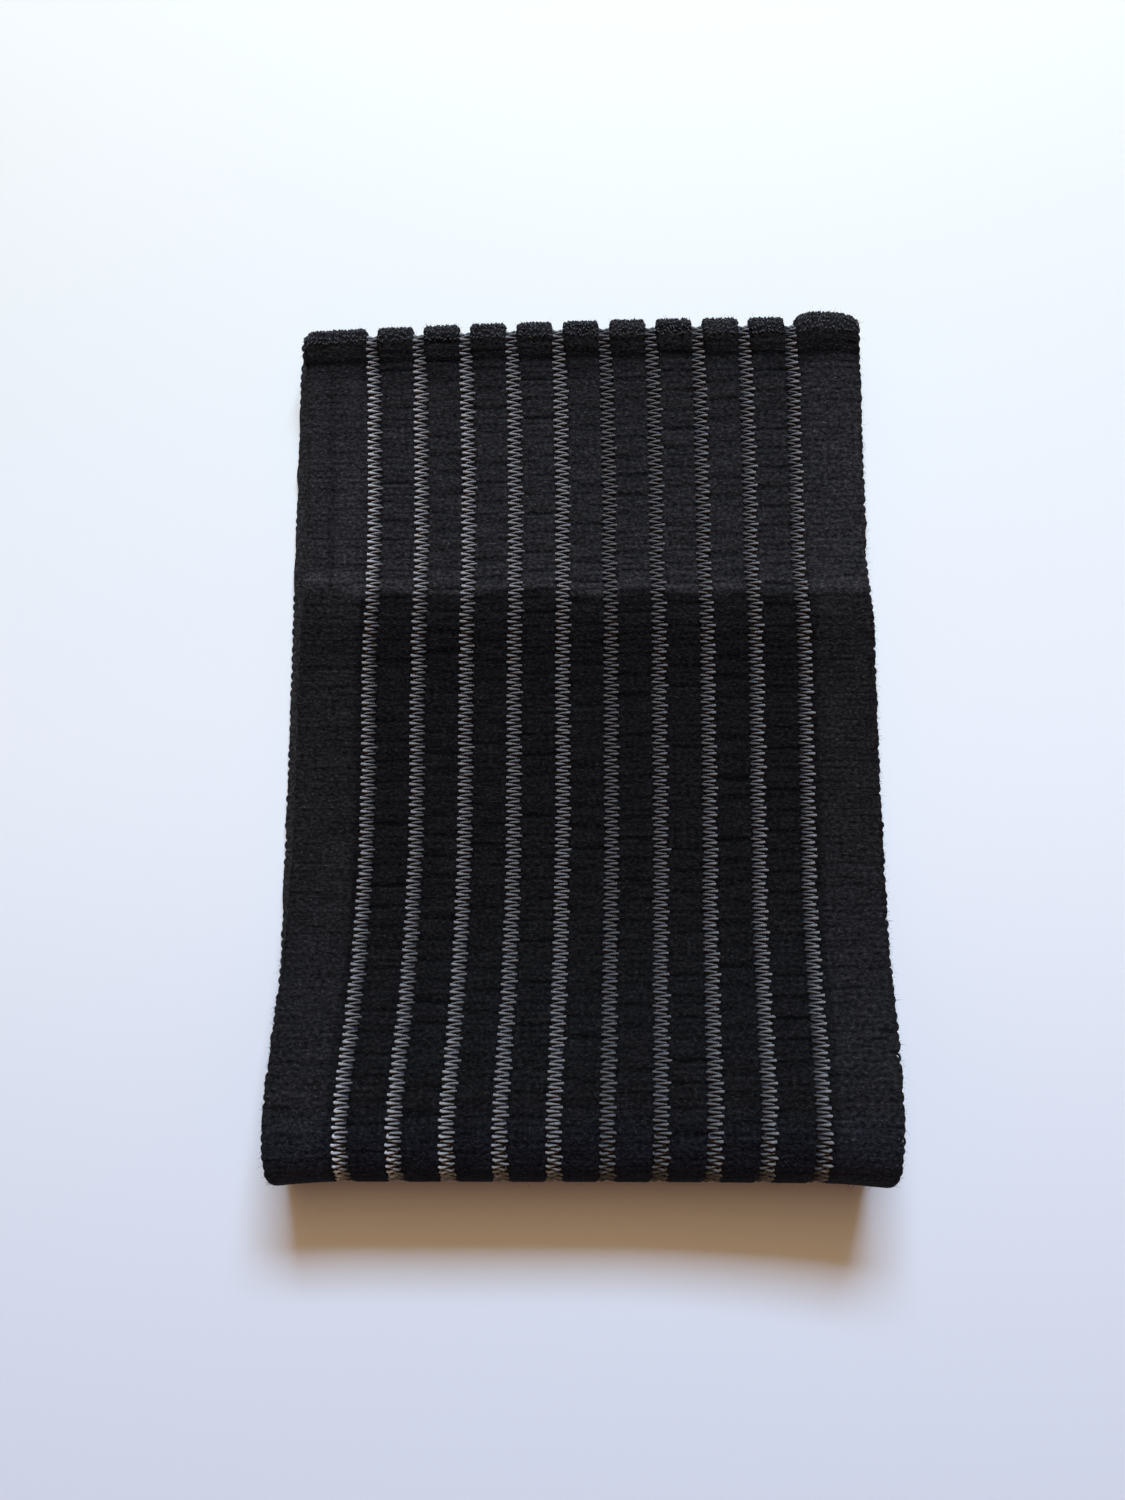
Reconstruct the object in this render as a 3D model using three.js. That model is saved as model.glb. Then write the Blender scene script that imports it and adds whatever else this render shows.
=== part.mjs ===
// Wrist wrap: one length of ribbed elastic folded in half, hemmed at one end, with a closure patch inside.
// Millimetres, +Z up. X runs across the band. The rounded fold is at -Y and the sewn hem at +Y.
import * as THREE from 'three';

// Width of the relaxed band and the thickness of its ribs and of the thin lanes between them.
const BAND_WIDTH = 80;
const RIB_HALF = 1.0;
const RIB_SHOULDER = 0.9;
const LANE_HALF = 0.45;
const SELVEDGE_HALF = 0.55;

// Ten lanes across the band. The floor is the flat of a lane, the mouth is where the ribs reach full height.
const LANE_COUNT = 10;
const LANE_PITCH = 6.7;
const LANE_FLOOR = 0.7;
const LANE_MOUTH = 1.2;
const LAST_LANE = ((LANE_COUNT - 1) * LANE_PITCH) / 2;
const SELVEDGE_BEVEL = 0.9;

// Sideways place of the band along its course. The upper layer bows a little to the right between the
// hem and the fold, and the lower layer lies a little to the left of it.
const AT_HEM = 0.1;
const AT_SEAM = 0.4;
const OVER_PATCH = 0.95;
const UPPER = 1.1;
const AT_FOLD = 0;
const LOWER = -0.6;

// Shares of the full width: drawn in by the patch, and at the plain end below.
const DRAWN = 0.967;
const PLAIN_END = 0.985;

// The ends of the hem stand a little behind its middle. Its last rib on the right stands further out, from
// a share of half the width, and both its ends are rounded off, each from a share of half the width.
const HEM_BOW = 0.5;
const HEM_CORNER = 0.75;
const CORNER_FROM = 0.77;
const CORNER_RUN = 0.06;
const HEM_ROUND = 0.9;
const RIGHT_END = 0.88;
const LEFT_END = 0.94;

// How much the edge ribs are narrowed where the patch holds the band.
const NARROW = -0.4;

// The right end of the loop at the fold stands higher than the rest, from a share of half the width. What
// is raised also comes inwards and back, each by a share of its lift.
const LOOP_LIFT = 2.8;
const LIFT_FROM = 0.12;
const LIFT_IN = 0.1;
const LIFT_BACK = 0.2;

// Course of the middle of the band, from the end turned under the hem to the plain end below.
// y and z place the row. wide is its share of BAND_WIDTH. side is its place along X. skew is how much
// further its right edge reaches than its left one. bow is its share of HEM_BOW. sink is how far its lanes
// are drawn into the turn between the ribs. flare is how much wider each edge rib is. lift is its share of
// LOOP_LIFT. steps are the facets to the next row.
const [Y, Z, WIDE, SIDE, SKEW, BOW, SINK, FLARE, LIFT, STEPS] = [0, 1, 2, 3, 4, 5, 6, 7, 8, 9];
const COURSE = [
  // y, z, wide, side, skew, bow, sink, flare, lift, steps
  [49.2, 3.3, DRAWN, AT_HEM, 1.3, 0.6, 0.3, NARROW, 0, 1], // end turned under
  [54.0, 3.3, DRAWN, AT_HEM, 1.4, 0.7, 0.5, NARROW, 0, 1],
  [56.0, 3.5, DRAWN, AT_HEM, 1.9, 1, 0.7, NARROW, 0, 2], // hem fold
  [56.9, 5.0, DRAWN, AT_HEM, 1.9, 1, 0.85, NARROW, 0, 2],
  [56.6, 6.2, DRAWN, AT_HEM, 1.9, 1, 0.85, NARROW, 0, 2],
  [56.0, 6.75, DRAWN, AT_HEM, 1.7, 0.9, 0.65, NARROW, 0, 2], // ridge above the seam
  [54.4, 6.4, DRAWN, 0.2, 1.5, 0.8, 0.4, NARROW, 0, 1],
  [52.7, 5.8, DRAWN, AT_SEAM, 1.4, 0.7, 0.22, NARROW, 0, 1], // seam
  [51.5, 5.72, DRAWN, AT_SEAM, 1.3, 0.6, 0.1, NARROW, 0, 1],
  [49.0, 5.6, DRAWN, 0.6, 1.1, 0.4, 0, NARROW, 0, 1],
  [45.0, 5.3, DRAWN, 0.75, 0.9, 0.2, 0, NARROW, 0, 1], // upper layer over the patch
  [34.0, 5.2, DRAWN, OVER_PATCH, 0.5, 0, 0, NARROW, 0, 1],
  [24.0, 5.35, DRAWN, OVER_PATCH, 0.1, 0, 0, NARROW, 0, 1],
  [19.3, 5.55, 0.974, UPPER, 0, 0, 0, -0.3, 0, 1], // crest at the edge of the patch
  [16.4, 5.2, 0.984, UPPER, 0, 0, 0, -0.2, 0, 1],
  [13.0, 4.25, 0.994, UPPER, 0, 0, 0, -0.1, 0, 1],
  [9.0, 3.5, 1, UPPER, 0, 0, 0, 0, 0, 1],
  [2.0, 3.3, 1, UPPER, 0, 0, 0, 0.1, 0, 1], // upper layer lying on the lower one
  [-8.0, 3.3, 1, UPPER, 0, 0, 0, 0.3, 0, 1],
  [-16.0, 3.75, 1, UPPER, 0, 0, 0, 0.45, 0, 1],
  [-24.0, 4.75, 1, 0.9, 0, 0, 0, 0.5, 0.12, 1], // rise to the fold
  [-31.0, 6.55, 1, 0.75, 0, 0, 0, 0.5, 0.35, 1],
  [-37.0, 9.0, 1, 0.55, 0, 0, 0, 0.4, 0.6, 1],
  [-43.0, 11.8, 1, 0.3, 0, 0, 0, 0.2, 0.85, 2],
  [-47.3, 13.6, 1, 0.1, 0, 0, 0, 0, 0.97, 2],
  [-51.0, 14.2, 1, AT_FOLD, 0, 0, 0, -0.1, 1, 2], // crest of the fold
  [-54.4, 13.0, 1, AT_FOLD, 0, 0, 0, -0.1, 0.95, 2],
  [-56.5, 10.3, 1, AT_FOLD, 0, 0, 0, -0.1, 0.78, 2],
  [-57.0, 7.6, 1, AT_FOLD, 0, 0, 0, 0, 0.55, 2], // tip of the fold
  [-56.4, 5.0, 1, -0.1, 0, 0, 0, 0, 0.3, 2],
  [-54.4, 2.4, 1, -0.2, 0, 0, 0, 0.2, 0.1, 2],
  [-51.5, 1.1, 1, -0.3, 0, 0, 0, 0.6, 0, 1],
  [-48.0, 0.92, 1, -0.4, 0, 0, 0, 0.9, 0, 1], // lower layer on the table
  [-44.0, 0.9, 1, -0.5, 0, 0, 0, 1.0, 0, 1],
  [0, 0.9, 1, LOWER, 0, 0, 0, 0, 0, 1],
  [55.0, 0.9, PLAIN_END, LOWER, 0, 0, 0, -0.6, 0, 1], // plain end
];

// Closure patch, sewn inside against the upper layer.
const PATCH_WIDTH = 74;
const PATCH_NEAR = 18.6;
const PATCH_FAR = 47.8;
const PATCH_UNDER = 2.3;
const PATCH_THICK = 1.5;
const PATCH_CORNER = 4;
const PATCH_CORNER_STEPS = 4;

const BLACK_KNIT = { color: 0x17171a, roughness: 0.95, metalness: 0 };
const BLACK_HOOK = { color: 0x1d1d1f, roughness: 0.7, metalness: 0 };

function chord(a, b) {
  return Math.hypot(b[Y] - a[Y], b[Z] - a[Z]);
}

function heading(a, b) {
  const span = chord(a, b);
  return [(b[Y] - a[Y]) / span, (b[Z] - a[Z]) / span];
}

// Direction of the course at a row, weighted by the distance to the rows on either side.
function rowHeading(i) {
  const row = COURSE[i];
  if (i === 0) {
    return heading(row, COURSE[1]);
  }
  const before = COURSE[i - 1];
  if (i === COURSE.length - 1) {
    return heading(before, row);
  }
  const after = COURSE[i + 1];
  const back = chord(before, row);
  const ahead = chord(row, after);
  const arrive = heading(before, row);
  const leave = heading(row, after);
  return [Y, Z].map((k) => (arrive[k] * ahead + leave[k] * back) / (back + ahead));
}

// One place along the smooth course: share runs from 0 at row i to 1 at the next row.
function station(i, share) {
  const row = COURSE[i];
  const next = COURSE[i + 1];
  const span = chord(row, next);
  const leave = rowHeading(i);
  const arrive = rowHeading(i + 1);
  const place = [0, 0];
  const slope = [0, 0];
  for (const k of [Y, Z]) {
    const rise = next[k] - row[k];
    const start = span * leave[k];
    const end = span * arrive[k];
    const bend = 3 * rise - 2 * start - end;
    const twist = start + end - 2 * rise;
    place[k] = row[k] + start * share + bend * share ** 2 + twist * share ** 3;
    slope[k] = start + 2 * bend * share + 3 * twist * share ** 2;
  }
  const size = Math.hypot(slope[Y], slope[Z]);
  const blend = (k) => row[k] + (next[k] - row[k]) * share;
  return {
    y: place[Y],
    z: place[Z],
    outY: slope[Z] / size,
    outZ: -slope[Y] / size,
    wide: blend(WIDE),
    side: blend(SIDE),
    skew: blend(SKEW),
    bow: blend(BOW),
    sink: blend(SINK),
    flare: blend(FLARE),
    lift: blend(LIFT),
  };
}

function stations() {
  const list = [];
  const spans = COURSE.length - 1;
  for (let i = 0; i < spans; i += 1) {
    const steps = COURSE[i][STEPS];
    for (let k = 0; k < steps; k += 1) {
      list.push(station(i, k / steps));
    }
  }
  list.push(station(spans - 1, 1));
  return list;
}

// Outline of the band cut across: x along the width, out towards the outer side of the folded band.
function crossSection() {
  const edge = BAND_WIDTH / 2;
  const face = [];
  let ribStart = -edge + SELVEDGE_BEVEL;
  face.push({ x: ribStart, out: RIB_SHOULDER });
  for (let lane = 0; lane < LANE_COUNT; lane += 1) {
    const x = lane * LANE_PITCH - LAST_LANE;
    face.push({ x: (ribStart + x - LANE_MOUTH) / 2, out: RIB_HALF });
    face.push({ x: x - LANE_MOUTH, out: RIB_SHOULDER });
    face.push({ x: x - LANE_FLOOR, out: LANE_HALF, lane: true });
    face.push({ x: x + LANE_FLOOR, out: LANE_HALF, lane: true });
    face.push({ x: x + LANE_MOUTH, out: RIB_SHOULDER });
    ribStart = x + LANE_MOUTH;
  }
  face.push({ x: (ribStart + edge - SELVEDGE_BEVEL) / 2, out: RIB_HALF });
  face.push({ x: edge - SELVEDGE_BEVEL, out: RIB_SHOULDER });
  const back = face.filter((p) => p.out !== RIB_HALF).map((p) => ({ ...p, out: -p.out }));
  back.reverse();
  const right = [
    { x: edge, out: SELVEDGE_HALF },
    { x: edge, out: -SELVEDGE_HALF },
  ];
  const left = [
    { x: -edge, out: -SELVEDGE_HALF },
    { x: -edge, out: SELVEDGE_HALF },
  ];
  return [...face, ...right, ...back, ...left];
}

// How far the hem stands out at its last rib on the right, less what is rounded off both its ends.
function hemCorner(across) {
  const part = (share) => THREE.MathUtils.clamp(share, 0, 1);
  const rise = part((across - CORNER_FROM) / CORNER_RUN);
  const right = part((across - RIGHT_END) / (1 - RIGHT_END));
  const left = part((-across - LEFT_END) / (1 - LEFT_END));
  return HEM_CORNER * rise - HEM_ROUND * (right ** 2 + left ** 3);
}

// How far the loop is raised at a place across it, where its share is full.
function loopLift(across) {
  const share = Math.max(across - LIFT_FROM, 0) / (1 - LIFT_FROM);
  return LOOP_LIFT * share ** 1.5;
}

// A point of the cross-section carried to a station. What would sink below the table is pressed flat on it.
function carry(at, point) {
  const edge = BAND_WIDTH / 2;
  const across = point.x / edge;
  const bend = at.bow ** 2 * hemCorner(across) - at.bow * HEM_BOW * across ** 2;
  const lean = (at.skew * across) / 2 + bend;
  const beyond = Math.max(Math.abs(point.x) - LAST_LANE, 0) / (edge - LAST_LANE);
  const lift = at.lift * loopLift(across);
  const flat = at.side + (point.x + Math.sign(point.x) * at.flare * beyond) * at.wide;
  const x = flat - LIFT_IN * lift * across;
  const out = point.lane ? point.out - at.sink : point.out;
  const y = at.y + at.outY * out + lean + LIFT_BACK * lift;
  const z = at.z + at.outZ * out + lift;
  return [x, y, Math.max(z, 0)];
}

function bandGeometry() {
  const outline = crossSection();
  const rows = stations();
  const count = outline.length;
  const positions = rows.flatMap((at) => outline.flatMap((point) => carry(at, point)));
  const index = [];
  for (let r = 0; r < rows.length - 1; r += 1) {
    for (let c = 0; c < count; c += 1) {
      const d = (c + 1) % count;
      const a = r * count + c;
      const b = r * count + d;
      index.push(a, a + count, b);
      index.push(b, a + count, b + count);
    }
  }
  const flat = outline.map((p) => new THREE.Vector2(p.x, p.out));
  const lastRow = (rows.length - 1) * count;
  for (const [a, b, c] of THREE.ShapeUtils.triangulateShape(flat, [])) {
    index.push(a, c, b);
    index.push(lastRow + a, lastRow + b, lastRow + c);
  }
  const geometry = new THREE.BufferGeometry();
  geometry.setAttribute('position', new THREE.Float32BufferAttribute(positions, 3));
  geometry.setIndex(index);
  geometry.computeVertexNormals();
  return geometry;
}

function patchGeometry() {
  const half = PATCH_WIDTH / 2;
  const r = PATCH_CORNER;
  const shape = new THREE.Shape();
  shape.moveTo(-half + r, PATCH_NEAR);
  shape.absarc(half - r, PATCH_NEAR + r, r, -Math.PI / 2, 0);
  shape.absarc(half - r, PATCH_FAR - r, r, 0, Math.PI / 2);
  shape.absarc(-half + r, PATCH_FAR - r, r, Math.PI / 2, Math.PI);
  shape.absarc(-half + r, PATCH_NEAR + r, r, Math.PI, 1.5 * Math.PI);
  const options = { depth: PATCH_THICK, bevelEnabled: false, curveSegments: PATCH_CORNER_STEPS };
  const geometry = new THREE.ExtrudeGeometry(shape, options);
  geometry.translate(OVER_PATCH, 0, PATCH_UNDER);
  return geometry;
}

function named(name, geometry, finish) {
  const mesh = new THREE.Mesh(geometry, new THREE.MeshStandardMaterial(finish));
  mesh.name = name;
  return mesh;
}

// Sets the origin on the table under the middle of the wrap.
function centred(band, patch) {
  band.computeBoundingBox();
  const middle = band.boundingBox.getCenter(new THREE.Vector3());
  band.translate(-middle.x, -middle.y, 0);
  patch.translate(-middle.x, -middle.y, 0);
}

function wristWrap() {
  const band = bandGeometry();
  const patch = patchGeometry();
  centred(band, patch);
  const group = new THREE.Group();
  group.name = 'wrist_wrap';
  group.add(named('elastic_band', band, BLACK_KNIT));
  group.add(named('hook_patch', patch, BLACK_HOOK));
  return group;
}

export default wristWrap();
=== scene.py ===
"""A folded wrist wrap of ribbed elastic: knitted band, zigzag threads, seams, closure patch and fibres."""

import math

import bpy
import numpy as np
from mathutils import Euler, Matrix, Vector


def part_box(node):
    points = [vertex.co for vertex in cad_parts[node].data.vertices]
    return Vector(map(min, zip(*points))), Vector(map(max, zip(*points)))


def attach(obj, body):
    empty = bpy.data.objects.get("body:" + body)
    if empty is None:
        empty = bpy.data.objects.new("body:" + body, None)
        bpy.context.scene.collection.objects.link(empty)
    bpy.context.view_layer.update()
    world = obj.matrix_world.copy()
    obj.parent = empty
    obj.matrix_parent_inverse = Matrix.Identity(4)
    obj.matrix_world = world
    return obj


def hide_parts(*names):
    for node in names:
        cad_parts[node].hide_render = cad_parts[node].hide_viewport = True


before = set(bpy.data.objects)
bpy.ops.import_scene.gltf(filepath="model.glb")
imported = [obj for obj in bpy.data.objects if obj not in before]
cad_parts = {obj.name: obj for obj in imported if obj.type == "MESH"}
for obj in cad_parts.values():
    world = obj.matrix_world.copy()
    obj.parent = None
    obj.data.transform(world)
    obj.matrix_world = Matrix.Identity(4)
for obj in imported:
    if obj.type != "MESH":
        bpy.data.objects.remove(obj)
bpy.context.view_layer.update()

MM = 0.001
RNG = np.random.default_rng(seed=7)

# Cross-section of the band. Sizes are in millimetres where nothing else is said.
BAND_WIDTH = 80.0
HALF_WIDTH = BAND_WIDTH / 2
RIB_HALF = 1.0
LANE_HALF = 0.45
LANE_COUNT = 10
LANE_PITCH = 6.7
LANE_FLOOR = 0.85
LANE_MOUTH = 1.4
NOTCH_FLOOR = 0.62
NOTCH_MOUTH = 0.88
LANES = (np.arange(LANE_COUNT) - (LANE_COUNT - 1) / 2) * LANE_PITCH
EDGE_HALF = 0.4
EDGE_ROUND = 0.9

# Sideways places of the middle of the band along its course
AT_HEM = 0.3
AT_SEAM = 0.55
OVER_PATCH = 0.95
UPPER = 1.1
AT_FOLD = 0.0
LOWER = -0.6

# Shares of the width: held by the hem and the patch, at the plain end, and inside the loops at the edges
DRAWN = 0.967
PLAIN_END = 0.988
KNIT_WIDTH = 0.9925

# Flare of the edge ribs where the band is held
NARROW = -0.05

# The hem bows, stands up at its last rib on the right, and is rounded at both ends: side, start and power
HEM_BOW = 0.5
HEM_CORNER = 0.75
CORNER_FROM = 0.77
CORNER_RUN = 0.06
HEM_ROUND = 0.9
HEM_ENDS = ((1, 0.88, 2), (-1, 0.94, 3))

# The fold stands out at both ends. Its right end is raised, and leans in and back as it rises.
FOLD_END = 0.65
FOLD_END_FROM = 0.78
FOLD_END_LONG = 9.0
LOOP_LIFT = 2.8
LIFT_FROM = 0.12
LIFT_IN = 0.1
LIFT_BACK = 0.2
END_POWER = 1.5

# Course of the middle of the band, from the end turned under the hem to the plain end below
COURSE_COLUMNS = ("y", "z", "wide", "side", "skew", "bow", "sink", "flare", "lift")
COURSE = np.array(
    [
        (49.2, 3.3, DRAWN, AT_HEM, 1.3, 0.6, 0.3, NARROW, 0),  # end turned under
        (54.0, 3.3, DRAWN, AT_HEM, 1.4, 0.7, 0.5, NARROW, 0),
        (56.0, 3.5, DRAWN, AT_HEM, 1.9, 1, 0.7, NARROW, 0),  # hem fold
        (56.9, 5.0, DRAWN, AT_HEM, 1.9, 1, 0.85, NARROW, 0),
        (56.6, 6.2, DRAWN, AT_HEM, 1.9, 1, 0.85, NARROW, 0),
        (56.0, 6.75, DRAWN, AT_HEM, 1.7, 0.9, 0.65, NARROW, 0),  # ridge above the seam
        (54.4, 6.4, DRAWN, 0.4, 1.5, 0.8, 0.4, NARROW, 0),
        (52.7, 5.8, DRAWN, AT_SEAM, 1.4, 0.7, 0.22, NARROW, 0),  # seam
        (51.5, 5.72, DRAWN, AT_SEAM, 1.3, 0.6, 0.1, NARROW, 0),
        (49.0, 5.6, DRAWN, 0.7, 1.1, 0.4, 0, NARROW, 0),
        (45.0, 5.3, DRAWN, 0.75, 0.9, 0.2, 0, NARROW, 0),  # upper layer over the patch
        (34.0, 5.2, DRAWN, OVER_PATCH, 0.5, 0, 0, NARROW, 0),
        (24.0, 5.35, DRAWN, OVER_PATCH, 0.1, 0, 0, NARROW, 0),
        (19.3, 5.55, 0.974, UPPER, 0, 0, 0, 0, 0),  # crest at the edge of the patch
        (16.4, 5.2, 0.984, UPPER, 0, 0, 0, 0, 0),
        (13.0, 4.25, 0.994, UPPER, 0, 0, 0, 0, 0),
        (9.0, 3.5, 1, UPPER, 0, 0, 0, 0, 0),
        (2.0, 3.3, 1, UPPER, 0, 0, 0, 0.1, 0),  # upper layer lying on the lower one
        (-8.0, 3.3, 1, UPPER, 0, 0, 0, 0.3, 0),
        (-16.0, 3.75, 1, UPPER, 0, 0, 0, 0.45, 0),
        (-24.0, 4.75, 1, 0.9, 0, 0, 0, 0.5, 0.12),  # rise to the fold
        (-31.0, 6.55, 1, 0.75, 0, 0, 0, 0.5, 0.35),
        (-37.0, 9.0, 1, 0.55, 0, 0, 0, 0.4, 0.6),
        (-43.0, 11.8, 1, 0.3, 0, 0, 0, 0.2, 0.85),
        (-47.3, 13.6, 1, 0.1, 0, 0, 0, 0, 0.97),
        (-51.0, 14.2, 1, AT_FOLD, 0, 0, 0, -0.1, 1),  # crest of the fold
        (-54.4, 13.0, 1, AT_FOLD, 0, 0, 0, -0.1, 0.95),
        (-56.5, 10.3, 1, AT_FOLD, 0, 0, 0, -0.1, 0.78),
        (-57.0, 7.6, 1, AT_FOLD, 0, 0, 0, 0, 0.55),  # tip of the fold
        (-56.4, 5.0, 1, -0.1, 0, 0, 0, 0, 0.3),
        (-54.4, 2.4, 1, -0.2, 0, 0, 0, 0.2, 0.1),
        (-51.5, 1.1, 1, -0.3, 0, 0, 0, 0.6, 0),
        (-48.0, 0.92, 1, -0.4, 0, 0, 0, 0.9, 0),  # lower layer on the table
        (-44.0, 0.9, 1, -0.5, 0, 0, 0, 1.0, 0),
        (0.0, 0.9, 1, LOWER, 0, 0, 0, 0, 0),
        (55.0, 0.9, PLAIN_END, -0.65, 0, 0, 0, -0.4, 0),  # plain end
    ]
)

# Rows of the course that other places are measured from
RIDGE_ROW = 5
SEAM_ROW = 7
PATCH_EDGE_ROW = 13
RISE_ROW = 22
FRONT_ROW = 25
TIP_ROW = 28
FLOOR_ROW = 32


def smooth_course(per_span=60):
    """The course in fine steps: its arc length, its columns and the direction out of the cloth."""
    knots = COURSE[:, :2]
    steps = np.diff(knots, axis=0)
    spans = np.linalg.norm(steps, axis=1)[:, None]
    heads = steps / spans
    inner = (heads[:-1] * spans[1:] + heads[1:] * spans[:-1]) / (spans[:-1] + spans[1:])
    tangents = np.vstack([heads[:1], inner, heads[-1:]])
    share = np.linspace(0, 1, per_span + 1)[:, None]
    places, slopes, others = [], [], []
    for i, (rise, span) in enumerate(zip(steps, spans)):
        start, end = span * tangents[i], span * tangents[i + 1]
        bend, twist = 3 * rise - 2 * start - end, start + end - 2 * rise
        last = len(share) if i == len(steps) - 1 else -1
        s = share[:last]
        places.append(knots[i] + start * s + bend * s**2 + twist * s**3)
        slopes.append(start + 2 * bend * s + 3 * twist * s**2)
        others.append(COURSE[i, 2:] + (COURSE[i + 1, 2:] - COURSE[i, 2:]) * s)
    path, slope, other = (np.vstack(part) for part in (places, slopes, others))
    slope /= np.linalg.norm(slope, axis=1)[:, None]
    gaps = np.linalg.norm(np.diff(path, axis=0), axis=1)
    line = dict(zip(COURSE_COLUMNS, np.hstack([path, other]).T))
    line["s"] = np.concatenate([[0], np.cumsum(gaps)])
    line["out_y"], line["out_z"] = slope[:, 1], -slope[:, 0]
    line["row_s"] = line["s"][::per_span]
    return line


LINE = smooth_course()
LENGTH = LINE["s"][-1]
RIDGE_S = LINE["row_s"][RIDGE_ROW]
SEAM_S = LINE["row_s"][SEAM_ROW]
PATCH_EDGE_S = LINE["row_s"][PATCH_EDGE_ROW]
RISE_S = LINE["row_s"][RISE_ROW]
FRONT_S = LINE["row_s"][FRONT_ROW]
TIP_S = LINE["row_s"][TIP_ROW]
FLOOR_S = LINE["row_s"][FLOOR_ROW]

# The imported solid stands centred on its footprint, so the course moves by the same amount.
BAND_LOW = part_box("elastic_band")[0]
EDGES = LINE["side"] - (HALF_WIDTH + LINE["flare"]) * LINE["wide"]
CENTRE_X = BAND_LOW[0] / MM - EDGES.min()
CENTRE_Y = BAND_LOW[1] / MM - (LINE["y"] + LINE["out_y"] * RIB_HALF).min()


def along(s, name):
    """A column of the course at s."""
    return np.interp(s, LINE["s"], LINE[name])


def hump(value, middle, width):
    """1 at the middle, falling smoothly to 0 on both sides."""
    return np.exp(-(((value - middle) / width) ** 2))


def hem_corner(across):
    """How far the hem stands up at its last rib on the right, less how far its ends are rounded off."""
    rise = np.clip((across - CORNER_FROM) / CORNER_RUN, 0, 1)
    ends = sum(
        np.clip((side * across - start) / (1 - start), 0, 1) ** power for side, start, power in HEM_ENDS
    )
    return HEM_CORNER * rise - HEM_ROUND * ends


def fold_ends(s, across):
    """How far the two ends of the fold stand out beyond its middle."""
    share = np.clip((np.abs(across) - FOLD_END_FROM) / (1 - FOLD_END_FROM), 0, 1)
    return FOLD_END * share**END_POWER * hump(s, TIP_S, FOLD_END_LONG)


def loop_lift(s, across):
    """How far the loop at the fold is raised towards its right end."""
    share = np.clip((across - LIFT_FROM) / (1 - LIFT_FROM), 0, None)
    return along(s, "lift") * LOOP_LIFT * share**END_POWER


def place(s, x, out):
    """Points of the cloth, in metres: s along the course, x across the band, out from its middle."""
    s, x, out = np.broadcast_arrays(s, x, out)
    across = x / HALF_WIDTH
    bow, lift = along(s, "bow"), loop_lift(s, across)
    lean = along(s, "skew") * across / 2 - bow * HEM_BOW * across**2
    lean = lean + bow**2 * hem_corner(across) - fold_ends(s, across)
    beyond = np.sign(x) * np.clip((np.abs(x) - LANES[-1]) / (HALF_WIDTH - LANES[-1]), 0, None)
    from_middle = (x + along(s, "flare") * beyond) * (KNIT_WIDTH * along(s, "wide"))
    px = along(s, "side") + from_middle - LIFT_IN * lift * across + CENTRE_X
    py = along(s, "y") + along(s, "out_y") * out + lean + LIFT_BACK * lift + CENTRE_Y
    pz = np.maximum(along(s, "z") + along(s, "out_z") * out + lift, 0.0)
    return np.stack([px, py, pz], axis=-1) * MM


def outward(s):
    """Unit vectors out of the cloth at s."""
    out_y, out_z = along(s, "out_y"), along(s, "out_z")
    return np.stack([np.zeros_like(out_y), out_y, out_z], axis=-1)


# Knit: courses are the rows of loops, a little closer where the patch holds the cloth.
COURSE_PITCH = 0.94
HELD_PITCH = 0.90
ROW_COURSES = 3
COURSE_SAMPLES = 4000


def courses_at(s):
    """How many courses lie between the turned-under end and s."""
    pitch = np.where((LINE["s"] > SEAM_S) & (LINE["s"] < PATCH_EDGE_S), HELD_PITCH, COURSE_PITCH)
    count = np.concatenate([[0], np.cumsum(np.diff(LINE["s"]) / pitch[1:])])
    return np.interp(s, LINE["s"], count)


def s_at(course):
    """The place along the course where so many courses have passed."""
    fine = np.linspace(0, LENGTH, COURSE_SAMPLES)
    return np.interp(course, courses_at(fine), fine)


def lane_distance(x):
    """How far x is from the middle of the nearest lane."""
    return np.abs(np.asarray(x)[..., None] - LANES).min(axis=-1)


def rounded(t):
    """A quarter circle from 0 up to 1."""
    t = np.clip(t, 0, 1)
    return np.sqrt(1 - (1 - t) ** 2)


def half_thickness(x):
    """Half the thickness of the cloth: round ribs, thin lanes, thin selvedge."""
    wall = rounded((lane_distance(x) - LANE_FLOOR) / (LANE_MOUTH - LANE_FLOOR))
    edge = rounded((HALF_WIDTH - np.abs(x)) / EDGE_ROUND)
    half = LANE_HALF + (RIB_HALF - LANE_HALF) * wall
    return EDGE_HALF + (half - EDGE_HALF) * edge


def lane_share(x):
    """1 in the middle of a lane and 0 on the ribs, with steep sides: how much of a sink a place takes."""
    return 1 - np.clip((lane_distance(x) - NOTCH_FLOOR) / (NOTCH_MOUTH - NOTCH_FLOOR), 0, 1)


def outer_face(s, x):
    """How far the outer face lies from the middle of the cloth, with its lanes drawn in at the hem."""
    return half_thickness(x) - along(s, "sink") * lane_share(x)


# Random unevenness, drawn in the order in which the pieces are built

BLUR_RADII = 3


def spread(limit, shape=None):
    """Random amounts between minus the limit and the limit."""
    return RNG.uniform(-limit, limit, shape)


def blurred(values, radius, axis):
    """Values smoothed over a radius, in steps of the axis, and scaled to a deviation of 1."""
    reach = math.ceil(BLUR_RADII * radius)
    offsets = np.arange(-reach, reach + 1)
    weights = np.exp(-(offsets**2) / (2 * radius**2))
    total = sum(w * np.roll(values, k, axis) for k, w in zip(offsets, weights / weights.sum()))
    return total / total.std()


def uneven_cloth(shape, rows, columns):
    """Smooth random unevenness over the rows and columns of the cloth."""
    return blurred(blurred(RNG.normal(size=shape), rows, 0), columns, 1)


# Meshes


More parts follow.
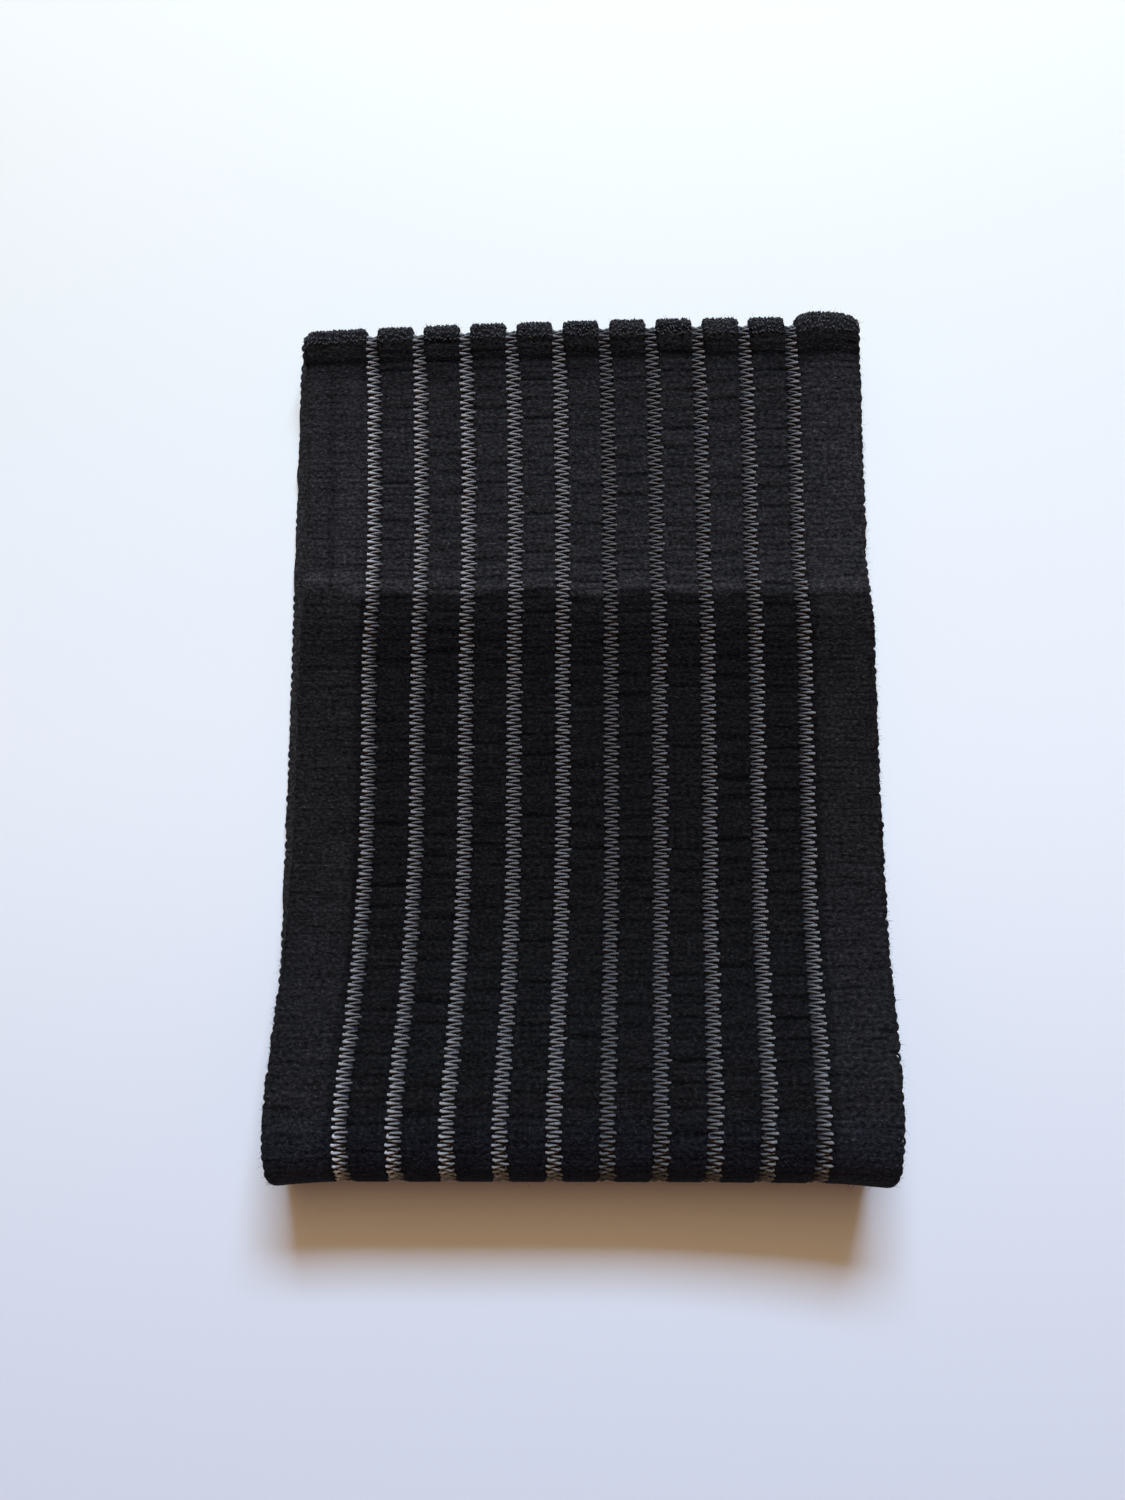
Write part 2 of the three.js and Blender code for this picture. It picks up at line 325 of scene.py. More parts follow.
def add_mesh(name, points, *faces):
    """A mesh from arrays of points and faces. Nothing of it sinks below the table."""
    points = np.maximum(points.reshape(-1, 3), (-np.inf, -np.inf, 0.0))
    mesh = bpy.data.meshes.new(name)
    mesh.from_pydata(points.tolist(), [], [f for part in faces for f in part.tolist()])
    mesh.shade_smooth()
    piece = bpy.data.objects.new(name, mesh)
    bpy.context.scene.collection.objects.link(piece)
    return piece


def set_attribute(piece, name, values):
    layer = piece.data.attributes.new(name, "FLOAT", "POINT")
    layer.data.foreach_set("value", np.ascontiguousarray(values, dtype=np.float32).ravel())


def tubes(paths, radii, ups, sides):
    """Closed tubes along paths (tube, ring, xyz), in one mesh: its points, its sides and its end caps."""
    count, rings = paths.shape[:2]
    ahead = np.gradient(paths, axis=1)
    ahead /= np.linalg.norm(ahead, axis=2, keepdims=True)
    beside = np.cross(ahead, ups)
    beside /= np.linalg.norm(beside, axis=2, keepdims=True)
    above = np.cross(beside, ahead)
    turn = np.arange(sides) * 2 * math.pi / sides
    ring = beside[:, :, None] * np.cos(turn)[:, None] + above[:, :, None] * np.sin(turn)[:, None]
    points = paths[:, :, None] + ring * np.broadcast_to(radii, (count, rings))[:, :, None, None]
    index = np.arange(count * rings * sides).reshape(count, rings, sides)
    after = np.roll(index, -1, axis=2)
    walls = np.stack([index[:, :-1], after[:, :-1], after[:, 1:], index[:, 1:]], axis=-1)
    caps = np.concatenate([index[:, 0, ::-1], index[:, -1]])
    return points.reshape(-1, 3), walls.reshape(-1, 4), caps


# Nodes of the materials

WHITE = (1, 1, 1)


def material(name, roughness, specular):
    made = bpy.data.materials.new(name)
    made.use_nodes = True
    shader = made.node_tree.nodes["Principled BSDF"]
    shader.inputs["Roughness"].default_value = roughness
    shader.inputs["Specular IOR Level"].default_value = specular
    return made, made.node_tree, shader


def attribute(tree, name):
    node = tree.nodes.new("ShaderNodeAttribute")
    node.attribute_name = name
    return node.outputs["Fac"]


def object_place(tree):
    return tree.nodes.new("ShaderNodeTexCoord").outputs["Object"]


def maths(tree, operation, a, b):
    node = tree.nodes.new("ShaderNodeMath")
    node.operation = operation
    for socket, value in zip(node.inputs, (a, b)):
        if isinstance(value, (int, float)):
            socket.default_value = value
        else:
            tree.links.new(value, socket)
    return node.outputs[0]


def vector_maths(tree, operation, colour, by, socket):
    node = tree.nodes.new("ShaderNodeVectorMath")
    node.operation = operation
    tree.links.new(colour, node.inputs[0])
    tree.links.new(by, node.inputs[socket])
    return node.outputs[0]


def scaled(tree, colour, factor):
    return vector_maths(tree, "SCALE", colour, factor, "Scale")


def multiplied(tree, colour, tint):
    return vector_maths(tree, "MULTIPLY", colour, tint, 1)


def noise(tree, vector, scale, detail, roughness=0.5):
    node = tree.nodes.new("ShaderNodeTexNoise")
    node.inputs["Scale"].default_value = scale
    node.inputs["Detail"].default_value = detail
    node.inputs["Roughness"].default_value = roughness
    tree.links.new(vector, node.inputs["Vector"])
    return node.outputs["Fac"]


def cloth_noise(tree, grain, detail, roughness=0.5):
    """Noise that follows the cloth. grain is how often it repeats in a millimetre, across and along."""
    node = tree.nodes.new("ShaderNodeCombineXYZ")
    for name, repeats, socket in zip(("cloth_x", "cloth_s"), grain, node.inputs):
        tree.links.new(maths(tree, "MULTIPLY", attribute(tree, name), repeats), socket)
    return noise(tree, node.outputs[0], scale=1.0, detail=detail, roughness=roughness)


def ramp(tree, factor, stops, interpolation="LINEAR"):
    node = tree.nodes.new("ShaderNodeValToRGB")
    node.color_ramp.interpolation = interpolation
    tree.links.new(factor, node.inputs["Fac"])
    elements = node.color_ramp.elements
    while len(elements) < len(stops):
        elements.new(0.5)
    for element, (position, colour) in zip(elements, stops):
        element.position = position
        element.color = (*colour, 1)
    return node.outputs["Color"]


def bump(tree, shader, height, distance, strength):
    """Relief from a texture. The distance is in metres."""
    node = tree.nodes.new("ShaderNodeBump")
    node.inputs["Distance"].default_value = distance
    node.inputs["Strength"].default_value = strength
    tree.links.new(height, node.inputs["Height"])
    tree.links.new(node.outputs["Normal"], shader.inputs["Normal"])


# Yarn of the knit: its tones, and the noises that they follow, in repeats per millimetre across and along
YARN_TONES = (
    (0.37, (0.0017, 0.0016, 0.00145)),
    (0.62, (0.0062, 0.0057, 0.0051)),
    (0.87, (0.0143, 0.0131, 0.0117)),
)
# Painted glints: bright specks that make the yarn paler
SPECK_GLINT_TINTS = ((0.6, WHITE), (0.8, (3.4, 3.3, 3.2)))
# Painted bluish glare, on the front of the fold and on the floors of the lanes
GLARE_TINTS = ((0.0, WHITE), (1.0, (0.97, 1.13, 1.6)))
YARN_GRAIN = (1.7, 2.4)
PATCHY_GRAIN = (0.25, 0.5)
SPECK_GRAIN = (3.1, 4.4)
# How much the relief paints shade in the grooves and light on the loops, and how much random patches change
# the tone
RELIEF_SHADE = 1.2
PATCHY_TONE = 0.25

# Painted shade in the gaps between courses: how they wander, how narrow they are and how often they break
GAP_SHADE = 0.16
GAP_NARROW = 3.2
GAP_WANDER = 0.8
WANDER_GRAIN = (0.3, 0.3)
BREAK_GRAIN = (0.35, 1.0)
BREAK_GAIN = 2.0
BREAK_BELOW = 0.4


def gap_shade_rows(tree):
    """Above 0 in the gaps between courses, where shade is painted, broken here and there, and 0 on the
    loops.
    """
    wander = maths(tree, "MULTIPLY", cloth_noise(tree, WANDER_GRAIN, detail=1.0), GAP_WANDER)
    course = maths(tree, "ADD", attribute(tree, "course"), wander)
    away = maths(tree, "PINGPONG", course, 0.5)
    line = maths(tree, "SUBTRACT", 1.0, maths(tree, "MULTIPLY", away, GAP_NARROW))
    unbroken = maths(tree, "MULTIPLY", cloth_noise(tree, BREAK_GRAIN, detail=1.0), BREAK_GAIN)
    unbroken = maths(tree, "SUBTRACT", unbroken, BREAK_BELOW)
    return maths(tree, "MULTIPLY", maths(tree, "MAXIMUM", line, 0.0), unbroken)


def knit_material():
    """Dark yarn: grains lighter and darker than the rest, bright specks with painted glints, painted shade
    in the grooves and in the gaps between courses, painted light on the loops, and a painted bluish glare.
    """
    made, tree, shader = material("ribbed_elastic", roughness=0.9, specular=0.03)
    grain = cloth_noise(tree, YARN_GRAIN, detail=2.0, roughness=0.55)
    patchy = cloth_noise(tree, PATCHY_GRAIN, detail=2.0)
    # Bright specks, used for painted glints and for bumps
    specks = cloth_noise(tree, SPECK_GRAIN, detail=1.0)
    # Painted shade in the grooves and painted light on the loops, following the relief
    tone = maths(tree, "ADD", grain, maths(tree, "MULTIPLY", attribute(tree, "relief"), RELIEF_SHADE))
    tone = maths(tree, "ADD", tone, maths(tree, "MULTIPLY", patchy, PATCHY_TONE))
    tone = maths(tree, "SUBTRACT", tone, maths(tree, "MULTIPLY", gap_shade_rows(tree), GAP_SHADE))
    colour = multiplied(tree, ramp(tree, tone, YARN_TONES), ramp(tree, specks, SPECK_GLINT_TINTS))
    colour = multiplied(tree, colour, ramp(tree, attribute(tree, "painted_glare"), GLARE_TINTS))
    tree.links.new(scaled(tree, colour, attribute(tree, "pale")), shader.inputs["Base Color"])
    bump(tree, shader, maths(tree, "ADD", grain, specks), distance=0.0002, strength=0.8)
    return made


# Dark and light shade of each kind of thread, and the grain of its strands in repeats per metre
PALE_THREAD = ((0.1, 0.095, 0.082), (0.19, 0.179, 0.155))
# Loops on the hem ridge: the dark yarn made paler, a painted highlight where the ridge catches the light
LIT_KNIT_LOOP = ((0.011, 0.0103, 0.0094), (0.075, 0.07, 0.063))
EDGE_LOOP = ((0.004, 0.0038, 0.0036), (0.02, 0.0185, 0.0175))
BLACK_THREAD = ((0.002, 0.002, 0.002), (0.006, 0.006, 0.006))
FIBRE = ((0.015, 0.0145, 0.0125), (0.06, 0.056, 0.048))
STRAND_GRAIN = 3500.0
STRAND_DARK = 0.3
STRAND_LIGHT = 0.7


def thread_material(name, dark, light, specular=0.3, varied=False):
    """Twisted yarn. varied threads are paler where their mesh says so."""
    made, tree, shader = material(name, roughness=0.75, specular=specular)
    strand = noise(tree, object_place(tree), STRAND_GRAIN, detail=3.0, roughness=0.6)
    colour = ramp(tree, strand, [(STRAND_DARK, dark), (STRAND_LIGHT, light)])
    if varied:
        colour = scaled(tree, colour, attribute(tree, "pale"))
    tree.links.new(colour, shader.inputs["Base Color"])
    bump(tree, shader, strand, distance=0.00006, strength=0.6)
    return made


# Tones of the tape, and its grain in repeats per metre
HOOK_TONES = ((0.35, (0.006, 0.006, 0.006)), (0.7, (0.02, 0.02, 0.021)))
HOOK_GRAIN = 2200.0


def hook_material():
    made, tree, shader = material("hook_tape", roughness=0.7, specular=0.3)
    grain = noise(tree, object_place(tree), HOOK_GRAIN, detail=2.0)
    tree.links.new(ramp(tree, grain, HOOK_TONES), shader.inputs["Base Color"])
    bump(tree, shader, grain, distance=0.0002, strength=0.8)
    return made


# Colour of the floor at places along Y: plain paper at both ends, with painted light falling off between
# them
FLOOR_PAPER_AND_PAINTED_LIGHT = (
    (-300, (0.80, 0.80, 0.80)),
    (-98, (0.812, 0.833, 0.798)),
    (-50, (0.834, 0.836, 0.762)),
    (-9, (0.878, 0.858, 0.746)),
    (34, (0.819, 0.797, 0.661)),
    (64, (0.790, 0.760, 0.612)),
    (105, (0.788, 0.735, 0.555)),
    (300, (0.79, 0.745, 0.60)),
    (800, (0.80, 0.80, 0.80)),
)

# Painted light: glow of the floor, growing between two distances in metres, standing in for lamplight that
# does not reach the far floor
GLOW = (0.40, 0.50, 0.575)
GLOW_NEAR = 0.15
GLOW_FAR = 0.7


def floor_material():
    """Pale paper with painted light graded along Y, that glows faintly with painted light where it is far
    from the object.
    """
    made, tree, shader = material("floor", roughness=0.6, specular=0.2)
    ground = object_place(tree)
    parts = tree.nodes.new("ShaderNodeSeparateXYZ")
    tree.links.new(ground, parts.inputs[0])
    first, last = FLOOR_PAPER_AND_PAINTED_LIGHT[0][0], FLOOR_PAPER_AND_PAINTED_LIGHT[-1][0]
    from_first = maths(tree, "SUBTRACT", parts.outputs["Y"], first * MM)
    share = maths(tree, "DIVIDE", from_first, (last - first) * MM)
    stops = [((y - first) / (last - first), colour) for y, colour in FLOOR_PAPER_AND_PAINTED_LIGHT]
    tree.links.new(ramp(tree, share, stops, "B_SPLINE"), shader.inputs["Base Color"])
    away = tree.nodes.new("ShaderNodeVectorMath")
    away.operation = "LENGTH"
    tree.links.new(ground, away.inputs[0])
    glow = tree.nodes.new("ShaderNodeMapRange")
    glow.interpolation_type = "SMOOTHSTEP"
    glow.inputs["From Min"].default_value = GLOW_NEAR
    glow.inputs["From Max"].default_value = GLOW_FAR
    tree.links.new(away.outputs["Value"], glow.inputs["Value"])
    tree.links.new(glow.outputs["Result"], shader.inputs["Emission Strength"])
    shader.inputs["Emission Color"].default_value = (*GLOW, 1)
    return made


def dress(piece, look):
    piece.data.materials.append(look)
    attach(piece, "root")
    return piece


# Rows and columns of the knitted band

FINE_STEPS = 3
COARSE_STEPS = 1
HIDDEN_S = 6.0
LAST_STEP = 0.5
LANE_WALL = np.array([NOTCH_FLOOR, NOTCH_MOUTH, 1.08, LANE_MOUTH])
CROWN_COLUMNS = 5
MARGIN_COLUMNS = 9
SELVEDGE_COLUMNS = np.array([0.55, 0.25, 0.08, 0.0])
INNER_EDGE = 0.35


def band_rows():
    """Places along the course: fine where the cloth is in view, coarse on what is covered."""
    hidden, turn, end = courses_at(HIDDEN_S), courses_at(FLOOR_S), courses_at(LENGTH)
    covered = np.arange(0, hidden, 1 / COARSE_STEPS)
    fine = np.arange(hidden, turn, 1 / FINE_STEPS)
    lower = np.arange(turn, end - LAST_STEP, 1 / COARSE_STEPS)
    return s_at(np.concatenate([covered, fine, lower, [end]]))


def outer_columns():
    """Places across the outer face, closer together on the walls of the lanes and at the selvedges."""
    crown = np.linspace(LANE_MOUTH, LANE_PITCH - LANE_MOUTH, CROWN_COLUMNS)[1:-1]
    inside = [lane + d for lane in LANES for d in (*-LANE_WALL, *LANE_WALL)]
    inside += [lane + d for lane in LANES[:-1] for d in crown]
    margin = HALF_WIDTH - LANES[-1]
    edge = LANES[-1] + np.linspace(LANE_MOUTH, margin - EDGE_ROUND, MARGIN_COLUMNS)[1:]
    edge = np.append(edge, HALF_WIDTH - EDGE_ROUND * SELVEDGE_COLUMNS)
    return np.sort(np.concatenate([inside, edge, -edge]))


def inner_columns():
    """Places across the inner face, from right to left."""
    inside = [lane + d for lane in LANES for d in (-LANE_MOUTH, 0, LANE_MOUTH)]
    edge = [HALF_WIDTH, HALF_WIDTH - INNER_EDGE, HALF_WIDTH - EDGE_ROUND]
    return np.sort(np.concatenate([inside, edge, np.negative(edge)]))[::-1]


# Relief of the knit. Blurs are in rows or columns of its mesh.

ROW_DRIFT = 0.15
ROW_SWAY = 0.05
SWAY_BLUR = (9.0, 3.0)
GROOVE_DEPTH = 0.11
GROOVE_WIDTH = 0.28
GROOVE_RANGE = (0.4, 1.5)
GROOVE_UNEVEN = 0.3
GROOVE_BLUR = 1.5
EDGE_GROOVE = 0.4
EDGE_RELIEF = 0.2
LOOP_DEPTH = 0.015
LUMP_DEPTH = 0.012
LUMP_BLUR = 0.7
CREASE_DEPTH = 0.06
CREASE_WIDTH = 0.3


def knit_relief(s, x):
    """Rows of loops on the outer face: a groove every third course, half a period on in every other rib."""
    shape = (len(s), len(x))
    rib = np.searchsorted(LANES, x)
    shift = (rib % 2) * ROW_COURSES / 2 - ROW_DRIFT * rib
    course = courses_at(s)[:, None] + shift + ROW_SWAY * uneven_cloth(shape, *SWAY_BLUR)
    row = np.floor(course / ROW_COURSES + 0.5).astype(int)
    from_row = (course / ROW_COURSES - row) * ROW_COURSES
    strength = RNG.uniform(*GROOVE_RANGE, (row.max() + 2, LANE_COUNT + 1))[row, rib]
    strength = strength * (1 + GROOVE_UNEVEN * blurred(RNG.normal(size=shape), GROOVE_BLUR, 1))
    strength = strength * np.where((rib == 0) | (rib == LANE_COUNT), EDGE_GROOVE, 1)
    groove = strength * hump(from_row, 0, GROOVE_WIDTH)
    ripple = 0.5 - 0.5 * np.cos(2 * math.pi * course)
    lumps = blurred(RNG.normal(size=shape), LUMP_BLUR, 0)
    return -GROOVE_DEPTH * groove + LOOP_DEPTH * ripple + LUMP_DEPTH * lumps


def seam_crease(s):
    """How deep the hem seam pulls the cloth in."""
    return CREASE_DEPTH * hump(s, SEAM_S, CREASE_WIDTH)


SELVEDGE_PITCH = 1.15
SELVEDGE_REACH = 0.2
SELVEDGE_MEAN = 0.6
SELVEDGE_POWER = 0.6
SELVEDGE_DRIFT = 0.35
DRIFT_BLUR = 5.0
SELVEDGE_UNEVEN = 0.5
UNEVEN_BLUR = 1.2


def selvedge_reach(s, x):
    """How far the loops at the selvedges reach out, at each row and column."""
    drift = blurred(RNG.normal(size=(2, len(s))), DRIFT_BLUR, 1)
    loops = np.abs(np.sin(math.pi * (s / SELVEDGE_PITCH + SELVEDGE_DRIFT * drift))) ** SELVEDGE_POWER
    uneven = blurred(RNG.normal(size=(2, len(s))), UNEVEN_BLUR, 1)
    side = np.sign(x)
    near = np.clip(1 - (HALF_WIDTH - np.abs(x)) / EDGE_ROUND, 0, 1)
    reach = (loops - SELVEDGE_MEAN + SELVEDGE_UNEVEN * uneven) * SELVEDGE_REACH
    return np.where(side < 0, reach[0][:, None], reach[1][:, None]) * near * side


# Paler and darker parts of the knit, many of them painted highlights, painted light and painted shade: how
# much, and how far they reach

RAGGED = 0.35
RAGGED_BLUR = (2.0, 3.0)
# Over the patch: pressed pile with painted sheen, starting at the seam and ending at the patch edge, and
# painted light growing towards that edge
PRESSED_SHEEN = 1.75
PRESSED_START = 0.7
PRESSED_LIGHT_GAIN = 0.3
PRESSED_RUN = 4.0
PRESSED_PAST = 0.2
PRESSED_STOP = 0.8
EDGE_PALE = 0.75
EDGE_RUN = 1.0
EDGE_START = 2.0
EDGE_PRESSED = 0.5
# Painted highlight on the top of the hem ridge, and its width
RIDGE_HIGHLIGHT = 0.9
RIDGE_WIDTH = 2.2
STRIP_PALE = 2.0
STRIP_WIDTH = 4.0
STRIP_RUN = 3.0
# Painted highlight on the crest at the patch edge: strength, width, and how far before the edge
CREST_HIGHLIGHT = 0.9
CREST_WIDTH = 0.9
CREST_BEFORE = 1.1
# Painted light on the slope below that crest, which faces away from the light: strength, width, and how far
# after the edge
SLOPE_PAINTED_LIGHT = 0.35
SLOPE_WIDTH = 2.0
SLOPE_AFTER = 3.2
# Front of the fold: painted light on it, how much smoother its relief is, and where it starts and how far
# it runs
FRONT_PAINTED_LIGHT = 0.58
FRONT_SMOOTH = 0.5
FRONT_BEFORE = 4.0
FRONT_RUN = 7.0
# Painted light on the floors of the lanes
LANE_GAP_PAINTED_LIGHT = 2.6
# Painted bluish glare on the floors of the lanes
LANE_GLARE = 0.5
# Painted shade in the creases of the hem seam and of the patch seam, and the place and width of the patch
# seam
SEAM_SHADE = 0.6
PATCH_SEAM_X = -36.3
PATCH_SEAM_SHADE = 0.3
PATCH_SEAM_WIDTH = 0.6


def front_share(s):
    """1 on the front of the fold, rising from just behind its crest."""
    return np.clip((s - FRONT_S + FRONT_BEFORE) / FRONT_RUN, 0, 1) * (s < FLOOR_S)


def pressed_share(s):
    """1 where the cloth is pressed over the patch, rising from the seam and ending sharply at its edge."""
    start = np.clip((s - SEAM_S) / PRESSED_RUN, 0, 1)
    stop = np.clip((PATCH_EDGE_S + PRESSED_PAST - s) / PRESSED_STOP, 0, 1)
    return start * stop


def paleness(s, x):
    """How pale the knit is: 1 on its plain ribs; more on the edge ribs and on the lower layer's strip; more
    over the patch for its pressed pile with painted sheen; painted highlights on the hem ridge and the
    crest at the patch edge; painted light on the slope below that crest, on the front of the fold and on
    the floors of the lanes; less at the seams, with painted shade in their creases.
    """
    place_s = s[:, None] + RAGGED * uneven_cloth((len(s), len(x)), *RAGGED_BLUR)
    over_patch = pressed_share(place_s)
    toward_edge = np.clip((place_s - SEAM_S) / (PATCH_EDGE_S - SEAM_S), 0, 1)
    # Pressed pile with painted sheen, and painted light growing towards the patch edge
    pressed = over_patch * (PRESSED_START + PRESSED_LIGHT_GAIN * toward_edge**2)
    edge_rib = np.clip((np.abs(x) - LANES[-1] - LANE_MOUTH) / EDGE_RUN, 0, 1)
    edge_rib = edge_rib * np.clip((place_s - SEAM_S) / EDGE_START, 0, 1) * (1 - EDGE_PRESSED * pressed)
    ridge = hump(s, RIDGE_S, RIDGE_WIDTH)[:, None]
    strip = (s[:, None] > FLOOR_S) * np.clip((np.abs(x) - HALF_WIDTH + STRIP_WIDTH) / STRIP_RUN, 0, 1)
    crest = hump(place_s, PATCH_EDGE_S - CREST_BEFORE, CREST_WIDTH) * over_patch
    slope = hump(place_s, PATCH_EDGE_S + SLOPE_AFTER, SLOPE_WIDTH)
    # Painted sheen, highlights and light, added to the paler edge ribs and strip
    paler = PRESSED_SHEEN * pressed + EDGE_PALE * edge_rib + RIDGE_HIGHLIGHT * ridge + STRIP_PALE * strip
    paler = paler + CREST_HIGHLIGHT * crest + SLOPE_PAINTED_LIGHT * slope + FRONT_PAINTED_LIGHT * front_share(s)[:, None]
    paler = paler + LANE_GAP_PAINTED_LIGHT * lane_share(x)
    # Painted shade in the creases of both seams
    seam = hump(s, SEAM_S, CREASE_WIDTH)[:, None]
    sewn = hump(x, PATCH_SEAM_X, PATCH_SEAM_WIDTH) * over_patch
    return (1 + paler) * (1 - SEAM_SHADE * seam) * (1 - PATCH_SEAM_SHADE * sewn)


def elastic_band():
    """The whole band as one closed mesh, with the attributes that its material follows."""
    s = band_rows()
    outer, inner = outer_columns(), inner_columns()
    relief = knit_relief(s, outer) * np.clip((HALF_WIDTH - np.abs(outer)) / EDGE_ROUND, EDGE_RELIEF, 1)
    front = np.broadcast_to(front_share(s)[:, None], relief.shape)
    relief = relief * (1 - FRONT_SMOOTH * front)
    top = outer_face(s[:, None], outer) - seam_crease(s)[:, None] + relief
    back = -half_thickness(inner) - along(s, "sink")[:, None] * lane_share(inner)
    x = np.concatenate([np.broadcast_to(outer, top.shape), np.broadcast_to(inner, back.shape)], axis=1)
    x = x + selvedge_reach(s, x[0])
    points = place(s[:, None], x, np.concatenate([top, back], axis=1))
    rows, count = x.shape
    index = np.arange(rows * count).reshape(rows, count)
    after = np.roll(index, -1, axis=1)
    walls = np.stack([index[:-1], index[1:], after[1:], after[:-1]], axis=-1).reshape(-1, 4)
    caps = np.stack([index[0], index[-1, ::-1]])
    piece = add_mesh("knit_band", points, walls, caps)
    set_attribute(piece, "cloth_x", x)
    set_attribute(piece, "cloth_s", np.broadcast_to(s[:, None], x.shape))
    set_attribute(piece, "course", np.broadcast_to(courses_at(s)[:, None], x.shape))
    # pale carries the knit's tone together with painted highlights, painted light, painted sheen and
    # painted shade
    set_attribute(piece, "pale", paleness(s, np.concatenate([outer, inner])))
    set_attribute(piece, "relief", np.concatenate([relief, np.zeros_like(back)], axis=1))
    # Painted bluish glare on the front of the fold and on the floors of the lanes
    painted_glare = np.maximum(front, LANE_GLARE * lane_share(outer))
    set_attribute(piece, "painted_glare", np.concatenate([painted_glare, np.zeros_like(back)], axis=1))
    return piece


# Zigzag threads. Half a period: the thread comes up at one side, crosses, and dives at the other.

ZIGZAG_COLUMNS = ("share", "across", "height", "forward", "radius")
ZIGZAG = np.array(
    [
        (0.00, -0.98, -0.22, -0.22, 0.11),
        (0.06, -0.92, 0.27, 0.00, 0.18),
        (0.15, -0.66, 0.36, 0.02, 0.19),
        (0.26, 0.00, 0.18, 0.05, 0.13),
        (0.37, 0.55, -0.02, 0.09, 0.085),
        (0.45, 0.88, -0.16, 0.15, 0.07),
    ]
)
OTHER_SIDE = (1, -1, 1, 1, 1)
HALF_PERIOD = np.array([0.5, 0, 0, 0.5, 0])

# Threads in view have a ring at every knot. Hidden ones have evenly spaced rings and fewer sides.
VIEW_SIDES = 6
HIDDEN_SIDES = 4
HIDDEN_RINGS = 6

# Unevenness of a thread, over lengths in courses. Beside a row of the knit it reaches farther across.
DIVE_RANGE = (0.0, 1.5)
ROW_JITTER = 0.08
ROW_NEAR = 0.5
MEANDER = 0.17
THREAD_LONG = 0.28
LONG_FROM = 0.4
THREAD_SWAY = 0.05
SWAY_COURSES = 2.0
UNEVEN_COURSES = 0.3
UNEVEN_FORWARD = 0.03
UNEVEN_ACROSS = 0.04
UNEVEN_OUT = 0.03

# How pale the thread of each lane is, from left to right, and how much paler or thicker it is in parts
LANE_PALE = (0.94, 0.91, 1.0, 0.90, 0.96, 0.54, 0.65, 0.73, 0.79, 0.74)
PRESSED_THREAD = 0.8
FOLD_THREAD = 1.0
FOLD_RUN = 20.0
LEFT_FROM = 0.25
FAR_SIDE = 1.2
FAR_THICK = 0.3


def zigzag_knots():
    """The whole period, with the first half repeated from the other side."""
    back = ZIGZAG * OTHER_SIDE + HALF_PERIOD
    close = ZIGZAG[:1] + 2 * HALF_PERIOD
    return dict(zip(ZIGZAG_COLUMNS, np.vstack([ZIGZAG, back, close]).T))


def thread_paleness(lane, s, leaning):
    """How pale a thread is: more over the patch and on the fold at the left, and at its outer turns."""
    toward_left = np.clip(LEFT_FROM - LANES[lane] / HALF_WIDTH, 0, 1)
    over_patch, on_fold = pressed_share(s), np.clip((s - RISE_S) / FOLD_RUN, 0, 1)
    paler = (PRESSED_THREAD * over_patch + FOLD_THREAD * on_fold) * toward_left
    return (1 + paler) * (1 + FAR_SIDE * leaning) * LANE_PALE[lane]


def zigzag(lane, first, last, shares, face):
    """One thread in a lane, in courses from first to last, on the outer (1) or inner (-1) face."""
    course = (np.arange(first, last)[:, None] + shares).ravel()
    per_course, knots = len(shares), zigzag_knots()
    across, height, forward, radius = (
        np.interp(course % 1, knots["share"], knots[name]) for name in ZIGZAG_COLUMNS[1:]
    )
    dive = np.repeat(RNG.uniform(*DIVE_RANGE, 2 * (last - first)), per_course // 2)
    height = np.where(height < 0, height * dive, height)
    row = course / ROW_COURSES + spread(ROW_JITTER)
    near_row = np.abs((row + 0.5) % 1 - 0.5) * ROW_COURSES < ROW_NEAR
    leaning = LANES[lane] / HALF_WIDTH * across
    across = across + MEANDER * np.cos(2 * math.pi * row) + THREAD_LONG * near_row * (across > LONG_FROM)
    sway = blurred(RNG.normal(size=len(course)), SWAY_COURSES * per_course, 0)
    uneven = blurred(RNG.normal(size=len(course)), UNEVEN_COURSES * per_course, 0)
    s = s_at(np.floor(course) + forward + UNEVEN_FORWARD * uneven)
    x = LANES[lane] + across + THREAD_SWAY * sway + UNEVEN_ACROSS * uneven
    out = LANE_HALF - face * along(s, "sink") + height + UNEVEN_OUT * uneven
    if face > 0:
        out = out - seam_crease(s)
    radius = radius * (1 + FAR_THICK * leaning)
    return place(s, x, face * out), radius * MM, outward(s) * face, thread_paleness(lane, s, leaning)


def lane_threads(name, lanes, spans, face):
    """The threads of some lanes in one mesh. A span: first and last course, shares of a course, sides."""
    meshes = []
    base = 0
    for lane in lanes:
        for first, last, shares, sides in spans:
            path, radii, up, pale = zigzag(lane, first, last, shares, face)
            points, walls, caps = tubes(path[None], radii[None], up[None], sides)
            meshes.append((points, walls + base, caps + base, np.repeat(pale, sides)))
            base += len(points)
    points = np.concatenate([m[0] for m in meshes])
    piece = add_mesh(name, points, *(m[1] for m in meshes), *(m[2] for m in meshes))
    set_attribute(piece, "pale", np.concatenate([m[3] for m in meshes]))
    return piece


# Seams

STITCH_RINGS = 9
STITCH_SIDES = 6
STITCH_LONG = 1.9
STITCH_SUNK = 0.25
HEM_SEAM_FROM = -34.0
HEM_SEAM_TO = 33.0
HEM_STITCH_PITCH = 2.2
HEM_WANDER = 0.06
PATCH_SEAM_START = 9.0
PATCH_SEAM_STOP = 1.0
PATCH_STITCH_PITCH = 2.4
PATCH_WANDER = 0.1


